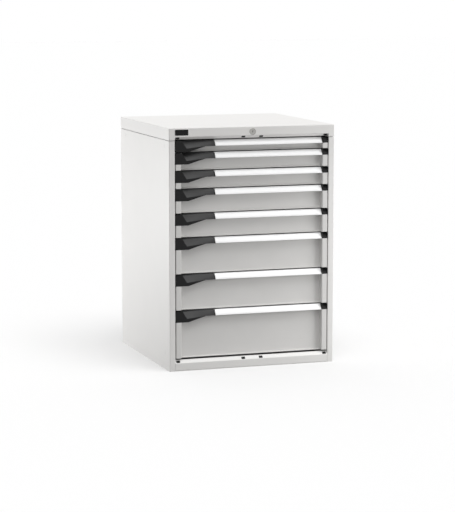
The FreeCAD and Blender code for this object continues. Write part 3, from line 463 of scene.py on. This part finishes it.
def label_insert(left, right, top):
    seat = -LABEL_SEAT
    face = seat + LABEL_THICKNESS
    far = slope_length - STRIP_LIP
    profile = [on_slope(STRIP_LIP, seat), on_slope(STRIP_LIP, face), on_slope(far, face), on_slope(far, seat)]
    return swept_profile(profile, left + LABEL_END, right - LABEL_END, top)


strip_white = make_finish("strip_white", STRIP_WHITE, STRIP_ROUGHNESS, PEEL_SIZE, STRIP_PEEL,
                          drift=STRIP_DRIFT)
label_white = make_finish("label_under_clear_face", LABEL_WHITE, LABEL_ROUGHNESS, PEEL_SIZE, LABEL_PEEL,
                          drift=LABEL_DRIFT, gloss_drift=LABEL_GLOSS_DRIFT)
for number in drawer_numbers:
    node = f"drawer_{number}_handle"
    low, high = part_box(node)
    top = high.z + FRONT_GAP
    body = f"drawer_{number}"
    holder = strip_holder(low.x, high.x, top)
    insert = label_insert(low.x, high.x, top)
    finished_piece(f"strip_holder_{number}", holder, [strip_white], body, node)
    finished_piece(f"label_insert_{number}", insert, [label_white], body, node)

# End grips
# Black moulded grips at both ends of every handle strip. The left one is a block that opens to the right into
# a tapering band under a smooth sloping pocket; the right one is a short cap with the same slope in its face.
# The left grip's pocket and band are coloured a lighter grey than its block, as painted sheen of the light
# from above on those sloping faces.
GRIP_BLACK = (0.005, 0.005, 0.0052)
GRIP_ROUGHNESS = 0.5
GRIP_SHINE = 0.2
# The pocket's grey is a lighter copy of the grip's black: painted sheen of the light from above on the slope.
POCKET_PAINTED_SHEEN_GREY = (0.025, 0.025, 0.0253)
POCKET_ROUGHNESS = 0.42
POCKET_SHINE = 0.3
POCKET_GRAIN_DEPTH = 0.00001
# The tongue is coloured a darker black than the grip, as painted shade in the gap beside the strip holder.
TONGUE_PAINTED_SHADE_BLACK = (0.003, 0.003, 0.003)
TONGUE_ROUGHNESS = 0.6
TONGUE_SHINE = 0.1
GRIP_LEFT = 0.0255
GRIP_RIGHT = 0.195
GRIP_DROP = 0.050
GRIP_TOE = (0.082, 0.050)
GRIP_HEEL = (0.158, 0.027)
GRIP_TIP_DROP = 0.0265
POCKET_TOP = 0.055
POCKET_FOOT = (0.075, 0.036)
GRIP_WALL = 0.0025
GRIP_EDGE = 0.0007
GRIP_EDGE_STEPS = 3
KEEN_ANGLE = math.radians(25)
TONGUE_END = 0.1988
CAP_WIDTH = 0.026
CAP_DROP = 0.027
CAP_RIM = 0.0035
CAP_SILL = 0.003
slope_ratio = STRIP_SETBACK / (STRIP_DROP - FRONT_GAP)


def moulding(points, faces, painted_sheen_faces, rim, top, closed):
    """A moulding from its visible faces, whose rim is drawn back to the panel."""
    mesh = bmesh.new()
    verts = {}
    for name, (side, depth, drop) in points.items():
        verts[name] = mesh.verts.new((side - half_width, front_plane + depth, top - drop))
    for names in faces:
        face = mesh.faces.new([verts[name] for name in names])
        # Faces listed as painted sheen take the lighter grey.
        face.material_index = 1 if names in painted_sheen_faces else 0
    edges = [mesh.edges.get((verts[first], verts[second])) for first, second in zip(rim, rim[1:])]
    drawn = bmesh.ops.extrude_edge_only(mesh, edges=edges)["geom"]
    for item in drawn:
        if isinstance(item, bmesh.types.BMVert):
            item.co.y = front_plane + PANEL_DEPTH
        if isinstance(item, bmesh.types.BMFace):
            item.material_index = 0
    if closed:
        far_edges = [edge for edge in mesh.edges if edge.is_boundary]
        bmesh.ops.contextual_create(mesh, geom=far_edges)
    return mesh


def left_grip(top):
    heel, heel_drop = GRIP_HEEL
    foot, foot_drop = POCKET_FOOT
    back_drop = heel_drop + (foot_drop - heel_drop) * (heel - POCKET_TOP) / (heel - foot)
    points = {
        "outer_top": (GRIP_LEFT, 0, FRONT_GAP),
        "outer_foot": (GRIP_LEFT, 0, GRIP_DROP),
        "toe": (GRIP_TOE[0], 0, GRIP_TOE[1]),
        "heel": (heel, 0, heel_drop),
        "tip": (GRIP_RIGHT, 0, GRIP_TIP_DROP),
        "tip_back": (GRIP_RIGHT, slope_ratio * (GRIP_TIP_DROP - FRONT_GAP), FRONT_GAP),
        "heel_back": (heel, slope_ratio * (heel_drop - FRONT_GAP), FRONT_GAP),
        "pocket_back": (POCKET_TOP, slope_ratio * (back_drop - FRONT_GAP), FRONT_GAP),
        "pocket_foot": (foot, 0, foot_drop),
        "pocket_top": (POCKET_TOP, 0, FRONT_GAP),
    }
    block = ("outer_top", "outer_foot", "toe", "heel", "pocket_foot", "pocket_top")
    slope = ("pocket_foot", "heel", "heel_back", "pocket_back")
    run_out = ("heel", "tip", "tip_back", "heel_back")
    wall = ("pocket_top", "pocket_foot", "pocket_back")
    rim = ("tip", "tip_back", "heel_back", "pocket_back", "pocket_top", "outer_top", "outer_foot", "toe")
    return moulding(points, (block, slope, run_out, wall), (slope, run_out), rim, top, closed=False)


def right_cap(right, top):
    left = right - CAP_WIDTH
    sill = CAP_DROP - CAP_SILL
    deep = slope_ratio * (sill - FRONT_GAP)
    points = {
        "outer_top": (left, 0, FRONT_GAP),
        "outer_foot": (left, 0, CAP_DROP),
        "far_foot": (right, 0, CAP_DROP),
        "far_top": (right, 0, FRONT_GAP),
        "right_rim": (right - CAP_RIM, 0, FRONT_GAP),
        "right_foot": (right - CAP_RIM, 0, sill),
        "left_foot": (left + CAP_RIM, 0, sill),
        "left_rim": (left + CAP_RIM, 0, FRONT_GAP),
        "left_back": (left + CAP_RIM, deep, FRONT_GAP),
        "right_back": (right - CAP_RIM, deep, FRONT_GAP),
    }
    face = (
        "outer_top", "outer_foot", "far_foot", "far_top",
        "right_rim", "right_foot", "left_foot", "left_rim",
    )
    slope = ("left_foot", "right_foot", "right_back", "left_back")
    left_wall = ("left_rim", "left_foot", "left_back")
    right_wall = ("right_rim", "right_back", "right_foot")
    rim = (
        "outer_top", "outer_foot", "far_foot", "far_top",
        "right_rim", "right_back", "left_back", "left_rim", "outer_top",
    )
    return moulding(points, (face, slope, left_wall, right_wall), (), rim, top, closed=True)


def soften(piece):
    """Round the keen edges of a moulding."""
    bevel = piece.modifiers.new("keen_edges", "BEVEL")
    bevel.width = GRIP_EDGE
    bevel.segments = GRIP_EDGE_STEPS
    bevel.limit_method = "ANGLE"
    bevel.angle_limit = KEEN_ANGLE


def grip_tongue(top):
    """A tongue at the left grip's end that runs in under the strip holder."""
    far = slope_length - 2 * STRIP_LIP
    back = -STRIP_WALL - GRIP_WALL
    profile = [
        on_slope(STRIP_LIP, -STRIP_WALL),
        on_slope(far, -STRIP_WALL),
        on_slope(far, back),
        on_slope(STRIP_LIP, back),
    ]
    return swept_profile(profile, GRIP_RIGHT - GRIP_WALL - half_width, TONGUE_END - half_width, top)


grip_black = make_finish("grip_moulding", GRIP_BLACK, GRIP_ROUGHNESS, MOULD_GRAIN, MOULD_DEPTH,
                         specular=GRIP_SHINE)
# Painted sheen: the lighter grey stands for the light from above on the pocket and band.
pocket_painted_sheen_grey = make_finish("pocket_painted_sheen_moulding", POCKET_PAINTED_SHEEN_GREY, POCKET_ROUGHNESS, MOULD_GRAIN, POCKET_GRAIN_DEPTH,
                          specular=POCKET_SHINE)
# Painted shade: the tongue's darker black stands for the shade in the gap where it shows.
tongue_painted_shade_black = make_finish("tongue_painted_shade_moulding", TONGUE_PAINTED_SHADE_BLACK, TONGUE_ROUGHNESS, MOULD_GRAIN, MOULD_DEPTH,
                           specular=TONGUE_SHINE)
for number in drawer_numbers:
    node = f"drawer_{number}_end_grips"
    low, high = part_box(node)
    top = high.z + FRONT_GAP
    body = f"drawer_{number}"
    grip = finished_piece(f"left_grip_{number}", left_grip(top), [grip_black, pocket_painted_sheen_grey], body, node)
    wall = grip.modifiers.new("wall", "SOLIDIFY")
    wall.thickness = GRIP_WALL
    wall.offset = -1
    wall.thickness_clamp = 1.0
    soften(grip)
    finished_piece(f"grip_tongue_{number}", grip_tongue(top), [tongue_painted_shade_black], body, node)
    cap = finished_piece(f"right_cap_{number}", right_cap(high.x + half_width, top), [grip_black], body, node)
    soften(cap)

# Catch levers
# Black moulded levers behind the left grips, on pins of their own. They are squeezed with the fingers of the
# pulling hand to lift the hook off its keeper.
LEVER_ROUGHNESS = 0.45
LEVER_SHINE = 0.3

lever_black = make_finish("lever_moulding", GRIP_BLACK, LEVER_ROUGHNESS, MOULD_GRAIN, MOULD_DEPTH,
                          specular=LEVER_SHINE)
coat_slot("lever_plastic", lever_black)

# Studio
# A pale floor that runs out of sight under a bright sky and a large soft light overhead. Two softboxes at the
# left rear and the right front light the cabinet alone, so they leave the soft shadow on the floor as it is.
FLOOR_SIZE = 80.0
FLOOR_ROUGHNESS = 0.9
FLOOR_WHITE = 0.88
FLOOR_BOUNCE = 0.26
FLOOR_LIFT = 0.03
SKY_LOW = 0.50
SKY_HIGH = 0.70
MIDDLE = Vector((0, 0, 0.5))
KEY_PLACE = (0.3, -1.3, 4.4)
KEY_LIGHT = 1.55
KEY_SPREAD = math.radians(50)
LEFT_PLACE = (-2.1, 1.9, 0.4)
LEFT_LIGHT = 38.0
LEFT_SIZE = 1.0
RIGHT_PLACE = (1.3, -1.0, 0.4)
RIGHT_LIGHT = 9.0
RIGHT_SIZE = 0.8


def seen_directly(tree):
    """1 for camera, mirror and see-through rays, and 0 for the rays that only carry light."""
    path = tree.nodes.new("ShaderNodeLightPath")
    result = path.outputs["Is Camera Ray"]
    for label in ("Is Glossy Ray", "Is Transmission Ray"):
        either = tree.nodes.new("ShaderNodeMath")
        either.operation = "MAXIMUM"
        tree.links.new(result, either.inputs[0])
        tree.links.new(path.outputs[label], either.inputs[1])
        result = either.outputs[0]
    return result


def between(tree, mask, hidden, shown):
    """A value that is one number for light-carrying rays and another where it is seen."""
    choice = tree.nodes.new("ShaderNodeMapRange")
    choice.inputs["To Min"].default_value = hidden
    choice.inputs["To Max"].default_value = shown
    tree.links.new(mask, choice.inputs["Value"])
    return choice


def studio_sky():
    """White where it is seen, and a light that grows from the horizon to the zenith."""
    sky = bpy.data.worlds.new("studio_sky")
    sky.use_nodes = True
    scene.world = sky
    tree = sky.node_tree
    background = tree.nodes["Background"]
    background.inputs["Color"].default_value = (1, 1, 1, 1)
    direction = tree.nodes.new("ShaderNodeTexCoord")
    parts = tree.nodes.new("ShaderNodeSeparateXYZ")
    tree.links.new(direction.outputs["Generated"], parts.inputs[0])
    rising = tree.nodes.new("ShaderNodeMapRange")
    rising.inputs["To Min"].default_value = SKY_LOW
    rising.inputs["To Max"].default_value = SKY_HIGH
    tree.links.new(parts.outputs["Z"], rising.inputs["Value"])
    level = between(tree, seen_directly(tree), 0, 1)
    tree.links.new(rising.outputs[0], level.inputs["To Min"])
    tree.links.new(level.outputs[0], background.inputs["Strength"])


def studio_floor():
    """Make the floor and return a group of lit things that leaves it out."""
    mesh = bmesh.new()
    bmesh.ops.create_grid(mesh, x_segments=1, y_segments=1, size=FLOOR_SIZE / 2)
    data = bpy.data.meshes.new("studio_floor")
    mesh.to_mesh(data)
    mesh.free()
    material = bpy.data.materials.new("studio_floor")
    material.use_nodes = True
    tree = material.node_tree
    shader = tree.nodes["Principled BSDF"]
    shader.inputs["Roughness"].default_value = FLOOR_ROUGHNESS
    shader.inputs["Specular IOR Level"].default_value = 0.0
    shader.inputs["Emission Color"].default_value = (1, 1, 1, 1)
    mask = seen_directly(tree)
    tree.links.new(between(tree, mask, FLOOR_BOUNCE, FLOOR_WHITE).outputs[0], shader.inputs["Base Color"])
    tree.links.new(between(tree, mask, 0, FLOOR_LIFT).outputs[0], shader.inputs["Emission Strength"])
    data.materials.append(material)
    floor = bpy.data.objects.new("studio_floor", data)
    scene.collection.objects.link(floor)
    lit = bpy.data.collections.new("all_but_floor")
    lit.objects.link(floor)
    lit.collection_objects[0].light_linking.link_state = "EXCLUDE"
    return lit


def soft_lamp(name, kind, place, power):
    """A lamp aimed at the middle of the cabinet."""
    lamp = bpy.data.lights.new(name, kind)
    lamp.energy = power
    lamp_object = bpy.data.objects.new(name, lamp)
    lamp_object.location = place
    lamp_object.rotation_euler = (MIDDLE - lamp_object.location).to_track_quat("-Z", "Y").to_euler()
    scene.collection.objects.link(lamp_object)
    return lamp_object


all_but_floor = studio_floor()
studio_sky()
overhead = soft_lamp("overhead_softbox", "SUN", KEY_PLACE, KEY_LIGHT)
overhead.data.angle = KEY_SPREAD
left_softbox = soft_lamp("left_rear_softbox", "AREA", LEFT_PLACE, LEFT_LIGHT)
left_softbox.data.size = LEFT_SIZE
right_softbox = soft_lamp("right_softbox", "AREA", RIGHT_PLACE, RIGHT_LIGHT)
right_softbox.data.size = RIGHT_SIZE
for softbox in (left_softbox, right_softbox):
    softbox.light_linking.receiver_collection = all_but_floor

# Camera
# A long lens at a standing person's height, turned to show the front and the left side. The cabinet fills the
# same part of the frame as in the photograph.
CAMERA_PLACE = (-2.7226, -8.1656, 1.6140)
CAMERA_TURN = -18.5182
CAMERA_TILT = 7.9196
CAMERA_LENS = 142.0853

camera = bpy.data.objects.new("camera", bpy.data.cameras.new("camera"))
camera.data.lens = CAMERA_LENS
camera.location = CAMERA_PLACE
turn = Matrix.Rotation(math.radians(CAMERA_TURN), 4, "Z")
tilt = Matrix.Rotation(math.radians(90 - CAMERA_TILT), 4, "X")
camera.rotation_euler = (turn @ tilt).to_euler()
scene.collection.objects.link(camera)
scene.camera = camera
